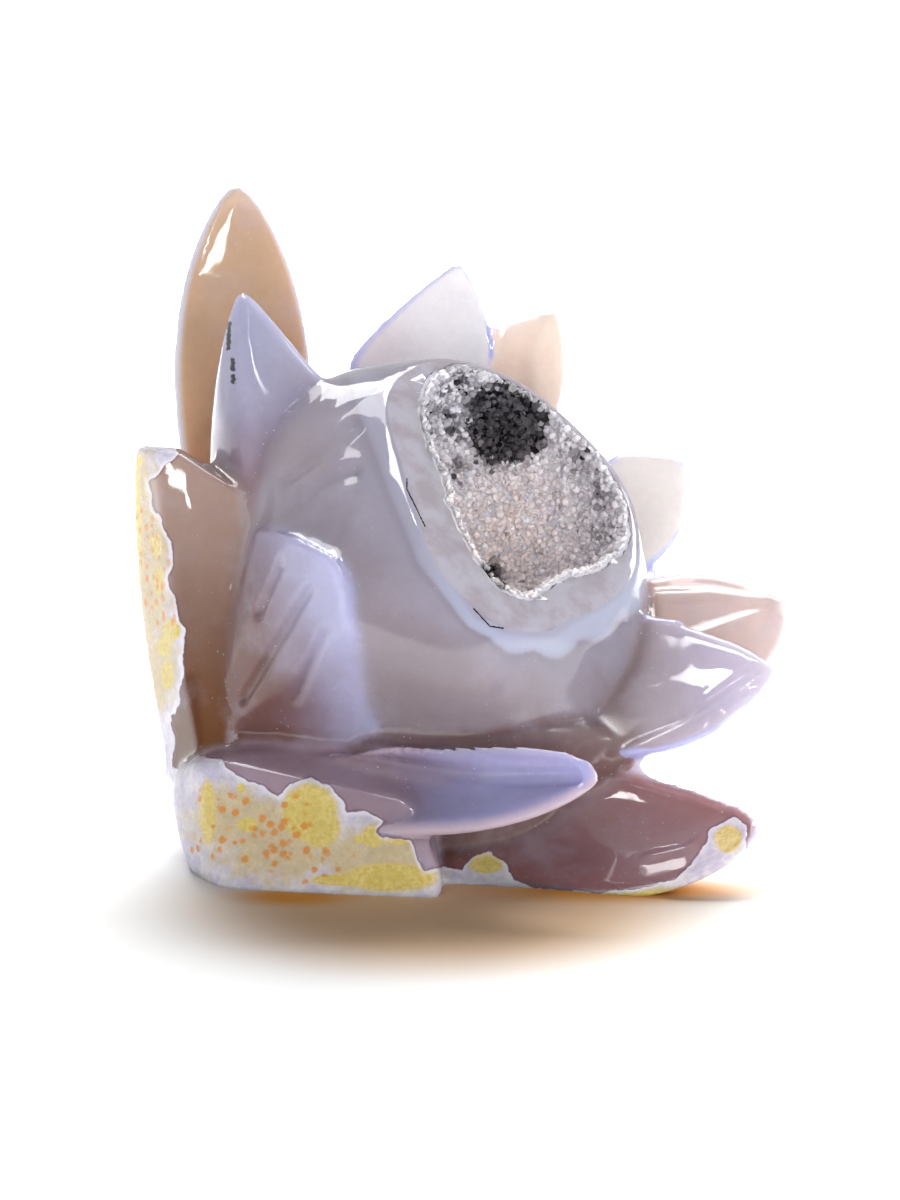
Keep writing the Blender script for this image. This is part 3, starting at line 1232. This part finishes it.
class Graph:
    """A material's nodes, added and joined one call at a time."""

    def __init__(self, name):
        self.material = bpy.data.materials.new(name)
        self.material.use_nodes = True
        self.tree = self.material.node_tree
        self.shader = self.tree.nodes["Principled BSDF"]

    def node(self, kind, inputs, output=0, **settings):
        node = self.tree.nodes.new(kind)
        for name, value in settings.items():
            setattr(node, name, value)
        for place, value in inputs.items():
            self.join(node.inputs[place], value)
        return node.outputs[output]

    def join(self, socket, value):
        if isinstance(value, bpy.types.NodeSocket):
            self.tree.links.new(value, socket)
        elif socket.type == "RGBA":
            socket.default_value = (*value, 1)
        else:
            socket.default_value = value

    def place(self):
        return self.node("ShaderNodeTexCoord", {}, "Object")

    def value(self, name):
        return self.node("ShaderNodeAttribute", {}, "Fac", attribute_name=name)

    def colour(self, name):
        return self.node("ShaderNodeAttribute", {}, "Color", attribute_name=name)

    def noise(self, scale, detail=3.0, roughness=0.5):
        """A cloudy value from 0 to 1. The finer the grain, the larger its scale."""
        inputs = {"Vector": self.place(), "Scale": scale, "Detail": detail, "Roughness": roughness}
        return self.node("ShaderNodeTexNoise", inputs, "Fac")

    def shake(self, reach, scale, detail=3.0, roughness=0.5):
        """A cloudy value about 0, to be added to another."""
        return self.line(self.noise(scale, detail, roughness), 0, 1, -reach, reach)

    def cells(self, scale, output="Distance"):
        return self.node("ShaderNodeTexVoronoi", {"Vector": self.place(), "Scale": scale}, output)

    def reckon(self, operation, first, second=0.0):
        return self.node("ShaderNodeMath", {0: first, 1: second}, operation=operation)

    def sum(self, first, second):
        return self.reckon("ADD", first, second)

    def times(self, first, second):
        return self.reckon("MULTIPLY", first, second)

    def size(self, value):
        return self.reckon("ABSOLUTE", value)

    def lesser(self, first, second):
        return self.reckon("MINIMUM", first, second)

    def line(self, value, low, high, start, end, kind="LINEAR"):
        """start below low, end above high, and on a straight line in between."""
        inputs = {"Value": value, "From Min": low, "From Max": high, "To Min": start, "To Max": end}
        return self.node("ShaderNodeMapRange", inputs, interpolation_type=kind)

    def ramp(self, value, low, high, start=0.0, end=1.0):
        """start below low, end above high, and smooth in between."""
        return self.line(value, low, high, start, end, "SMOOTHSTEP")

    def mix(self, share, first, second, blend="MIX"):
        node = self.tree.nodes.new("ShaderNodeMix")
        node.data_type = "RGBA"
        node.blend_type = blend
        self.join(node.inputs["Factor"], share)
        self.join(node.inputs[6], first)
        self.join(node.inputs[7], second)
        return node.outputs[2]

    def shade(self, colour, value):
        """A colour made brighter or darker by a value."""
        grey = self.node("ShaderNodeCombineColor", {0: value, 1: value, 2: value})
        return self.mix(1.0, colour, grey, "MULTIPLY")

    def vector(self, operation, first, second, output="Vector"):
        return self.node("ShaderNodeVectorMath", {0: first, 1: second}, output, operation=operation)

    def scaled(self, vector, share):
        return self.node("ShaderNodeVectorMath", {0: vector, "Scale": share}, "Vector", operation="SCALE")

    def length(self, vector):
        return self.node("ShaderNodeVectorMath", {0: vector}, "Value", operation="LENGTH")

    def seen(self):
        """Where the surface is in the picture plane, in millimetres."""
        offset = self.vector("SUBTRACT", self.place(), view_to_world((0, 0, 0)))
        right, up, near = (
            self.vector("DOT_PRODUCT", offset, view_normal(way), "Value")
            for way in ((1, 0, 0), (0, 1, 0), (0, 0, 1))
        )
        away = self.reckon("SUBTRACT", VIEW_DISTANCE * MM, near)
        flat = self.node("ShaderNodeCombineXYZ", {0: right, 1: up})
        return self.scaled(flat, self.reckon("DIVIDE", VIEW_DISTANCE, away))

    def from_line(self, seen, points):
        """How far the surface is from a path in the picture plane, in millimetres."""
        nearest = None
        for start, end in zip(points, points[1:]):
            start, end = Vector((*start, 0)), Vector((*end, 0))
            way = end - start
            offset = self.vector("SUBTRACT", seen, start)
            share = self.vector("DOT_PRODUCT", offset, way / way.length_squared, "Value")
            share = self.node("ShaderNodeClamp", {"Value": share})
            away = self.vector("DISTANCE", offset, self.scaled(way, share), "Value")
            nearest = self.lesser(nearest, away) if nearest else away
        return nearest

    def finish(self, **values):
        """Sets or joins the shader's inputs, each named with _ for a space, and gives the material."""
        for name, value in values.items():
            self.join(self.shader.inputs[name.replace("_", " ")], value)
        return self.material


def clouded_stone(graph, settings):
    """The chalcedony with its clouds, its pale veils and its warm zones."""
    stone = graph.colour("stone")
    stone = graph.shade(stone, graph.line(graph.noise(42), 0.3, 0.7, 0.9, 1.1))
    stone = graph.mix(graph.ramp(graph.noise(90, 4, 0.6), 0.45, 0.75, 0, 0.22), stone, settings.veil)
    stone = graph.mix(graph.ramp(graph.noise(28, 2), 0.5, 0.8, 0, 0.25), stone, settings.amber)
    return graph.shade(stone, graph.line(graph.noise(700, 3, 0.7), 0.3, 0.7, 0.97, 1.03))


def with_rims(graph, stone):
    """The petals' lavender rims."""
    edge = graph.sum(graph.value("edge"), graph.shake(0.3, 160, 2))
    return graph.mix(graph.ramp(edge, 0.2, 1.7, 0.85, 0), stone, graph.colour("border"))


def with_layers(graph, stone, settings):
    """The layers round the sawn face, and the grey quartz of the face."""
    on_bud = graph.value("bud")
    crisp = graph.times(graph.value("crisp"), on_bud)
    seam = graph.sum(graph.value("seam"), graph.shake(0.2, 150, 2))
    haze = graph.ramp(graph.size(seam), 1.0, 6.0, 0.35, 0)
    below = graph.times(graph.ramp(seam, 1.0, 1.25), graph.ramp(seam, 1.3, 2.2, 0.3, 0))
    core = graph.ramp(graph.size(seam), 0.85, 1.12, 0.5, 0)
    bright = graph.ramp(graph.size(graph.sum(seam, -0.2)), 0.25, 0.85, 0.6, 0)
    for share, place, colour in (
        (haze, on_bud, settings.band_haze),
        (below, on_bud, settings.band_shadow),
        (core, crisp, settings.band),
        (bright, crisp, settings.band_bright),
    ):
        stone = graph.mix(graph.times(share, place), stone, colour)
    cloudy = graph.ramp(graph.noise(200, 4, 0.6), 0.35, 0.65)
    quartz = graph.mix(cloudy, settings.quartz_face, settings.quartz_haze)
    return graph.mix(graph.ramp(graph.value("sawn"), -0.35, 0.05, 1, 0), stone, quartz)


def with_dust(graph, stone, crease, settings):
    """Darker creases, with polishing dust in them."""
    stone = graph.mix(graph.times(crease, 0.3), stone, settings.crease)
    specks = graph.ramp(graph.cells(900), 0.07, 0.15, 0.8, 0)
    near_crease = graph.ramp(graph.value("crease"), 0.0, 0.05, 0.2, 1.0)
    patchy = graph.ramp(graph.noise(150, 4, 0.6), 0.47, 0.6)
    return graph.mix(graph.times(graph.times(specks, near_crease), patchy), stone, settings.dust)


def skin_coat(graph, rind, settings):
    """The nodule's skin: white and lilac, with yellow patches, orange spots and a frosted border."""
    cloudy = graph.ramp(graph.noise(330, 3, 0.6), 0.35, 0.65)
    white = graph.mix(cloudy, settings.skin_white, settings.skin_lilac)
    sallow = graph.sum(graph.value("sallow"), graph.shake(0.9, 300, 4, 0.65))
    white = graph.mix(graph.ramp(sallow, -0.2, 0.5, 0, 0.7), white, settings.skin_sallow)
    fibres = graph.noise(900, 4, 0.7)
    white = graph.shade(white, graph.line(fibres, 0.3, 0.7, 0.86, 1.06))

    yellow = graph.sum(graph.value("yellow"), graph.shake(0.16, 520, 4, 0.65))
    speckle = graph.ramp(graph.noise(1300, 3, 0.7), 0.35, 0.65)
    sulphur = graph.mix(speckle, settings.skin_yellow_deep, settings.skin_yellow)
    sulphur = graph.mix(graph.ramp(yellow, 0.3, 0.9, 0, 0.5), sulphur, settings.skin_yellow_deep)
    coat = graph.mix(graph.ramp(yellow, -0.12, 0.22), white, sulphur)

    zone = graph.sum(graph.value("orange"), graph.line(graph.cells(620, "Color"), 0.2, 0.8, -0.7, 0.6))
    spot = graph.sum(graph.cells(620), graph.shake(0.2, 1500, 2))
    orange = graph.times(graph.ramp(zone, 0.0, 0.2), graph.ramp(spot, 0.25, 0.5, 1, 0))
    coat = graph.mix(graph.times(orange, 0.85), coat, settings.skin_orange)
    frost = graph.times(graph.ramp(rind, 0.0, 0.9, 1, 0), graph.ramp(yellow, 0.0, 0.4, 0.85, 0.3))
    return graph.mix(frost, coat, settings.skin_frost)


def with_marks(graph, stone, settings):
    """Pits beside the left petal's ridge, and hairline cracks on the sawn face's edge."""
    seen = graph.seen()
    shake = graph.shake(0.35, 1500, 2)
    for marks, reach, form in ((PITS, PIT_REACH, "ridge"), (CRACKS, CRACK_REACH, "bud")):
        nearest = graph.from_line(seen, marks[0])
        for mark in marks[1:]:
            nearest = graph.lesser(nearest, graph.from_line(seen, mark))
        nearest = graph.sum(nearest, graph.times(shake, reach / PIT_REACH))
        there = graph.times(graph.ramp(nearest, reach * 0.6, reach, 1, 0), graph.value(form))
        stone = graph.mix(there, stone, settings.dark)
    return stone


def agate_material(settings):
    """Polished agate with its thin lavender rims, the layers round the sawn face, and the nodule's skin."""
    graph = Graph("polished_agate")
    crease = graph.ramp(graph.value("crease"), 0.04, 0.22)
    rind = graph.sum(graph.value("rind"), graph.shake(0.7, 420))
    skin = graph.ramp(rind, -0.08, 0.12)
    stone = clouded_stone(graph, settings)
    stone = with_rims(graph, stone)
    stone = with_layers(graph, stone, settings)
    stone = with_dust(graph, stone, crease, settings)
    beside = graph.times(graph.ramp(graph.size(rind), 0.05, 0.5, 1, 0), graph.ramp(rind, -0.02, 0.02, 1, 0))
    stone = graph.mix(graph.times(beside, 0.55), stone, settings.skin_edge)
    stone = graph.mix(skin, stone, skin_coat(graph, rind, settings))
    stone = with_marks(graph, stone, settings)
    rough = graph.line(graph.noise(500, 3), 0.3, 0.7, 0.02, 0.06)
    for place, share in ((crease, 0.22), (skin, 0.14), (graph.value("dull"), 0.2)):
        rough = graph.sum(rough, graph.times(place, share))
    ripple = {"Height": graph.noise(120, 1), "Distance": 0.0006, "Strength": 0.25}
    grit = {"Height": graph.times(skin, graph.noise(1400, 4, 0.7)), "Distance": 0.0005, "Strength": 0.5}
    grit["Normal"] = graph.node("ShaderNodeBump", ripple)
    return graph.finish(
        Base_Color=stone,
        Roughness=rough,
        IOR=QUARTZ_IOR,
        Subsurface_Weight=0.7,
        Subsurface_Scale=0.006,
        Subsurface_Radius=(1.0, 0.85, 0.95),
        Normal=graph.node("ShaderNodeBump", grit),
    )


def druse_material():
    """Small clear and smoky quartz points."""
    graph = Graph("quartz_druse")
    return graph.finish(
        Base_Color=graph.shade(graph.colour("grain"), graph.line(graph.noise(300), 0.3, 0.7, 0.9, 1.08)),
        Roughness=0.14,
        IOR=QUARTZ_IOR,
        Specular_IOR_Level=0.18,
        Subsurface_Weight=0.6,
        Subsurface_Scale=0.0012,
        Subsurface_Radius=(1.0, 0.9, 0.9),
    )


def floor_material(settings):
    """Pale, and warm near the stone, whose amber light falls into its shadow. Far away it glows faintly."""
    graph = Graph("pale_floor")

    def from_middle(middle, reach):
        offset = graph.vector("SUBTRACT", graph.place(), middle)
        return graph.length(graph.vector("DIVIDE", offset, reach))

    colour = graph.mix(graph.ramp(from_middle(*GLOW), 0.4, 1.0, 1, 0), settings.floor, settings.glow)
    for zone in AMBER_ZONES:
        colour = graph.mix(graph.ramp(from_middle(*zone), 0.2, 1.0, 0.95, 0), colour, settings.through)
    return graph.finish(
        Base_Color=colour,
        Roughness=1.0,
        Specular_IOR_Level=0.0,
        Emission_Color=(1, 1, 1),
        Emission_Strength=graph.ramp(graph.length(graph.place()), 0.1, 0.4, 0, 0.6),
    )


def colour_property(name, code, description):
    return FloatVectorProperty(
        name=name, description=description, subtype="COLOR", size=3, min=0, max=1, default=linear(code)
    )


def length_property(name, length, description):
    return FloatProperty(name=name, description=description, default=length, unit="LENGTH", precision=5)


def power_property(name, power, description):
    return FloatProperty(name=name, description=description, default=power)


class AgateLotusStone(bpy.types.PropertyGroup):
    """Sizes and colours of the stone."""

    voxel: length_property("Voxel", 0.5 * MM, "Grid that the forms are fused on")
    fillet: length_property("Fillet", 1.3 * MM, "Rounding of the creases between the forms")
    triangles: IntProperty(
        name="Triangles", description="Most triangles of the fused stone, before it is cut", default=172000
    )
    veil: colour_property("Veil", "b9b8cf", "Pale veils in the chalcedony")
    amber: colour_property("Amber", "a98a74", "Warm zones in the chalcedony")
    band: colour_property("Band", "b0b4cc", "Blue-white layer round the sawn face")
    band_bright: colour_property("Band's middle", "b2b8ce", "Palest part of the blue-white layer")
    band_shadow: colour_property("Band's shadow", "807c8a", "Stone below the blue-white layer")
    band_haze: colour_property("Band haze", "a3a3b8", "Haze beside the blue-white layer")
    quartz_face: colour_property("Sawn quartz", "a39ba4", "Grey quartz of the sawn face")
    quartz_haze: colour_property("Sawn quartz haze", "b2aebb", "Pale parts of the sawn quartz")
    crease: colour_property("Crease", "66505a", "Stone in the creases")
    dust: colour_property("Dust", "f2eef2", "Polishing dust and frost")
    skin_white: colour_property("Skin white", "d9d6de", "White of the nodule's skin")
    skin_lilac: colour_property("Skin lilac", "c4c0d6", "Lilac shadows of the nodule's skin")
    skin_frost: colour_property("Skin frost", "e4e2ec", "Frosted border of the nodule's skin")
    skin_edge: colour_property("Skin edge", "6a5268", "Dark line beside the nodule's skin")
    skin_sallow: colour_property("Skin sallow", "c6b270", "Pale yellow wash of the nodule's skin")
    skin_yellow: colour_property("Skin yellow", "dcca84", "Yellow of the nodule's skin")
    skin_yellow_deep: colour_property("Skin deep yellow", "c8b664", "Deeper yellow of the nodule's skin")
    skin_orange: colour_property("Skin orange", "cf8a3a", "Orange spots of the nodule's skin")
    dark: colour_property("Manganese", "1c1b20", "Black of the pits")


class AgateLotusDruse(bpy.types.PropertyGroup):
    """Sizes and colours of the druse."""

    crystals: IntProperty(name="Crystals", description="Number of quartz points", default=6200)
    crystal_size: length_property("Crystal size", 1.15 * MM, "Width of a large point")
    quartz: colour_property("Quartz", "f0ecf6", "Palest quartz points")
    quartz_deep: colour_property("Deep quartz", "dcd8e4", "Darkest clear quartz points")
    rose: colour_property("Rose quartz", "f0dcd6", "Quartz points where the druse is rosy")
    dark: colour_property("Manganese", "05050c", "Points dark with manganese")


class AgateLotusStage(bpy.types.PropertyGroup):
    """Floor, lights and camera."""

    floor: colour_property("Floor", "f4f4f3", "Pale floor")
    floor_size: length_property("Floor size", 6.0, "Width of the floor")
    shade: FloatVectorProperty(
        name="Shade", description="Light that reaches the shadows", subtype="COLOR", size=3,
        default=(0.055, 0.052, 0.055),
    )
    reflection: power_property("Reflection", 0.9, "How bright the stone mirrors the back")
    front: FloatVectorProperty(
        name="Front", description="What the stone mirrors on the viewer's side", subtype="COLOR", size=3,
        default=(0.12, 0.1, 0.09),
    )
    floor_light: power_property("Floor light", 35.0, "Power of the softbox for the floor")
    floor_fill: power_property("Floor fill", 1.9, "Power of the floor's softbox in front")
    through: colour_property("Through light", "dc9a48", "Light that the stone lets through to the floor")
    glow: colour_property("Glow", "e0c09e", "Floor near the stone, in its amber glow")
    back: power_property("Back light", 7.2, "Power of the softbox above and behind")
    fill: power_property("Fill light", 6.8, "Power of the softbox on the viewer's side")
    sides: power_property("Side lights", 1.2, "Power of the softboxes at both sides")
    right: power_property("Right light", 2.0, "Power of the softbox at the right")
    overhead: power_property("Overhead", 2.2, "Power of the softbox that the polish mirrors")
    druse: power_property("Druse light", 1.9, "Power of the softbox for the druse")
    window: power_property("Windows", 1.5, "Power of the windows in the polish, by area")


def modify(thing, name, kind, **values):
    """Adds a modifier with its values."""
    modifier = thing.modifiers.new(name, kind)
    for key, value in values.items():
        setattr(modifier, key, value)


def fuse(thing, settings):
    """Fuses the forms' shells, fills the creases between them, and evens the skin."""
    modify(thing, "skin", "REMESH", mode="VOXEL", voxel_size=settings.voxel)
    modify(thing, "soften", "SMOOTH", factor=0.5, iterations=4)
    for name, shift in (("fill", 1.0), ("return", -1.0)):
        modify(thing, name, "DISPLACE", mid_level=0.0, strength=shift * settings.fillet)
        modify(thing, name + "_skin", "REMESH", mode="VOXEL", voxel_size=settings.voxel)
    modify(thing, "even", "SMOOTH", factor=0.5, iterations=6)


def thin_and_cut(thing, share, cutters):
    """Keeps a share of the triangles, then cuts the hollow and the flat foot."""
    modify(thing, "thin", "DECIMATE", ratio=share)
    for cutter in cutters:
        modify(thing, cutter.name, "BOOLEAN", operation="DIFFERENCE", solver="MANIFOLD", object=cutter)


class CarveAgateLotus(bpy.types.Operator):
    """Fuse the flower's forms into one stone, carve its relief, open its hollow and polish it"""

    bl_idname = "agate_lotus.carve"
    bl_label = "Carve the stone"

    def execute(self, context):
        settings = context.scene.agate_lotus_stone
        forms = all_forms()
        fused = settled(forms.copy(), "fused", lambda thing: fuse(thing, settings))
        polish(fused)
        carve(fused)
        cutters = [
            plain_object("hollow_cutter", hollow_cutter()),
            plain_object("ground_cutter", ground_cutter()),
        ]
        fused.calc_loop_triangles()
        share = min(1.0, settings.triangles / len(fused.loop_triangles))
        data = settled(fused, "carved", lambda thing: thin_and_cut(thing, share, cutters))
        for cutter in cutters:
            bpy.data.objects.remove(cutter)
        refine_skin(data)
        describe(data, forms)
        data.shade_smooth()
        data.set_sharp_from_angle(angle=SHARP_ANGLE)
        data.name = "agate_lotus"
        piece = bpy.data.objects.new("agate_lotus", data)
        context.scene.collection.objects.link(piece)
        data.materials.clear()
        data.materials.append(agate_material(settings))
        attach(piece, "root")
        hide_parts("lotus_carving")
        return {"FINISHED"}


class GrowAgateLotusDruse(bpy.types.Operator):
    """Line the hollow with a crust of quartz points"""

    bl_idname = "agate_lotus.grow_druse"
    bl_label = "Grow the druse"

    def execute(self, context):
        settings = context.scene.agate_lotus_druse
        data = crust_mesh(settings)
        piece = bpy.data.objects.new("quartz_druse", data)
        context.scene.collection.objects.link(piece)
        data.materials.append(druse_material())
        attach(piece, "root")
        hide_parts("druzy_crust")
        return {"FINISHED"}


def softbox(name, place, target, width, height, power, only):
    """A rectangular light that faces its target, and lights one collection alone."""
    light = bpy.data.lights.new(name, "AREA")
    light.shape = "RECTANGLE"
    light.size = width
    light.size_y = height
    light.energy = power
    lamp = bpy.data.objects.new(name, light)
    lamp.location = place
    lamp.rotation_euler = (Vector(target) - Vector(place)).to_track_quat("-Z", "Y").to_euler()
    lamp.light_linking.receiver_collection = only
    bpy.context.scene.collection.objects.link(lamp)
    return lamp


def mirrored_window(stone, place, size, power, only):
    """A small softbox that the viewer sees mirrored in the polish at a place of the picture plane."""
    viewer = view_to_world((0, 0, VIEW_DISTANCE))
    way = (view_to_world((*place, 0)) - viewer).normalized()
    hit, point, normal, _ = stone.ray_cast(viewer, way)
    if not hit:
        return
    mirrored = way.reflect(normal)
    width, height = (side * MM for side in size)
    start = point + mirrored * WINDOW_DISTANCE * MM
    window = softbox("window_softbox", start, point, width, height, power * width * height, only)
    window.data.spread = WINDOW_SPREAD
    window.visible_diffuse = False
    window.visible_camera = False


def lit_collections():
    """The collections that the softboxes light, with the pieces that are there."""
    collections = {}
    for name, members in LIT.items():
        collections[name] = bpy.data.collections.new(name)
        for member in members:
            if member in bpy.data.objects:
                collections[name].objects.link(bpy.data.objects[member])
    return collections


def set_lights(settings):
    """The softboxes, each of them for its own collection, and the windows in the polish."""
    lit = lit_collections()
    heart = view_to_world((0, 0, 0))

    def place_softbox(box):
        power = getattr(settings, box.power)
        lamp = softbox(box.name, box.place, heart, box.width, box.height, power, lit[box.lit])
        if box.off:
            setattr(lamp, box.off, False)

    for box in SOFTBOXES:
        place_softbox(box)
    for place, size in WINDOWS:
        mirrored_window(bpy.data.objects["agate_lotus"], place, size, settings.window, lit["stone"])
    place_softbox(DRUSE_SOFTBOX)


def set_camera(scene):
    """The camera at the carver's own place, level with the flower's heart."""
    lens = bpy.data.cameras.new("camera")
    lens.sensor_width = SENSOR_WIDTH
    lens.lens = lens.sensor_width * VIEW_DISTANCE / PICTURE_HEIGHT
    camera = bpy.data.objects.new("camera", lens)
    away = view_normal((0, 0, 1)) * VIEW_DISTANCE * MM
    camera.location = view_to_world((0, 0, 0)) + away
    camera.rotation_euler = (-away).to_track_quat("-Z", "Y").to_euler()
    scene.collection.objects.link(camera)
    scene.camera = camera


def white_surroundings(shade, reflection, front):
    """White to the camera. The stone mirrors reflection, or front at the viewer's side. shade lights it."""
    world = bpy.data.worlds.new("white_surroundings")
    bpy.context.scene.world = world
    world.use_nodes = True
    tree = world.node_tree
    tree.nodes.clear()
    place = tree.nodes.new("ShaderNodeTexCoord")
    parts = tree.nodes.new("ShaderNodeSeparateXYZ")
    tree.links.new(place.outputs["Generated"], parts.inputs[0])
    dimming = tree.nodes.new("ShaderNodeMapRange")
    dimming.interpolation_type = "SMOOTHSTEP"
    dimming.inputs["From Min"].default_value = DIM_FROM
    dimming.inputs["From Max"].default_value = DIM_TO
    tree.links.new(parts.outputs["Y"], dimming.inputs["Value"])
    blend = tree.nodes.new("ShaderNodeMix")
    blend.data_type = "RGBA"
    tree.links.new(dimming.outputs[0], blend.inputs["Factor"])
    blend.inputs[6].default_value = (*front, 1)
    blend.inputs[7].default_value = (reflection, reflection, reflection, 1)
    rays = tree.nodes.new("ShaderNodeLightPath")

    def background(colour):
        node = tree.nodes.new("ShaderNodeBackground")
        if isinstance(colour, bpy.types.NodeSocket):
            tree.links.new(colour, node.inputs["Color"])
        else:
            node.inputs["Color"].default_value = (*colour, 1)
        return node.outputs[0]

    def choose(ray, plain, special):
        choice = tree.nodes.new("ShaderNodeMixShader")
        tree.links.new(rays.outputs[ray], choice.inputs[0])
        tree.links.new(plain, choice.inputs[1])
        tree.links.new(special, choice.inputs[2])
        return choice.outputs[0]

    light = choose("Is Glossy Ray", background(shade), background(blend.outputs[2]))
    light = choose("Is Camera Ray", light, background((1, 1, 1)))
    output = tree.nodes.new("ShaderNodeOutputWorld")
    tree.links.new(light, output.inputs[0])


class SetAgateLotusStage(bpy.types.Operator):
    """Lay the pale floor and set the lights and the camera"""

    bl_idname = "agate_lotus.set_stage"
    bl_label = "Set the stage"

    def execute(self, context):
        settings = context.scene.agate_lotus_stage
        context.scene.view_settings.view_transform = "Standard"
        white_surroundings(settings.shade, settings.reflection, settings.front)
        mesh = bmesh.new()
        bmesh.ops.create_grid(mesh, x_segments=1, y_segments=1, size=settings.floor_size / 2)
        floor = plain_object("pale_floor", mesh)
        floor.data.materials.append(floor_material(settings))
        set_lights(settings)
        set_camera(context.scene)
        return {"FINISHED"}


class AgateLotusPanel(bpy.types.Panel):
    """Carve the lotus step by step"""

    bl_idname = "VIEW3D_PT_agate_lotus"
    bl_label = "Agate lotus"
    bl_space_type = "VIEW_3D"
    bl_region_type = "UI"
    bl_category = "Agate lotus"

    def draw(self, context):
        layout = self.layout
        for group, operator in STEPS:
            box = layout.box()
            settings = getattr(context.scene, group)
            for name in settings.bl_rna.properties.keys():
                if name not in ("rna_type", "name"):
                    box.prop(settings, name)
            box.operator(operator.bl_idname)


GROUPS = {
    "agate_lotus_stone": AgateLotusStone,
    "agate_lotus_druse": AgateLotusDruse,
    "agate_lotus_stage": AgateLotusStage,
}
STEPS = (
    ("agate_lotus_stone", CarveAgateLotus),
    ("agate_lotus_druse", GrowAgateLotusDruse),
    ("agate_lotus_stage", SetAgateLotusStage),
)
CLASSES = (*GROUPS.values(), CarveAgateLotus, GrowAgateLotusDruse, SetAgateLotusStage, AgateLotusPanel)


def register():
    for kind in CLASSES:
        bpy.utils.register_class(kind)
    for name, kind in GROUPS.items():
        setattr(bpy.types.Scene, name, PointerProperty(type=kind))


def unregister():
    for name in GROUPS:
        delattr(bpy.types.Scene, name)
    for kind in reversed(CLASSES):
        bpy.utils.unregister_class(kind)


def main():
    register()
    bpy.ops.agate_lotus.carve()
    bpy.ops.agate_lotus.grow_druse()
    bpy.ops.agate_lotus.set_stage()


if __name__ == "__main__":
    main()
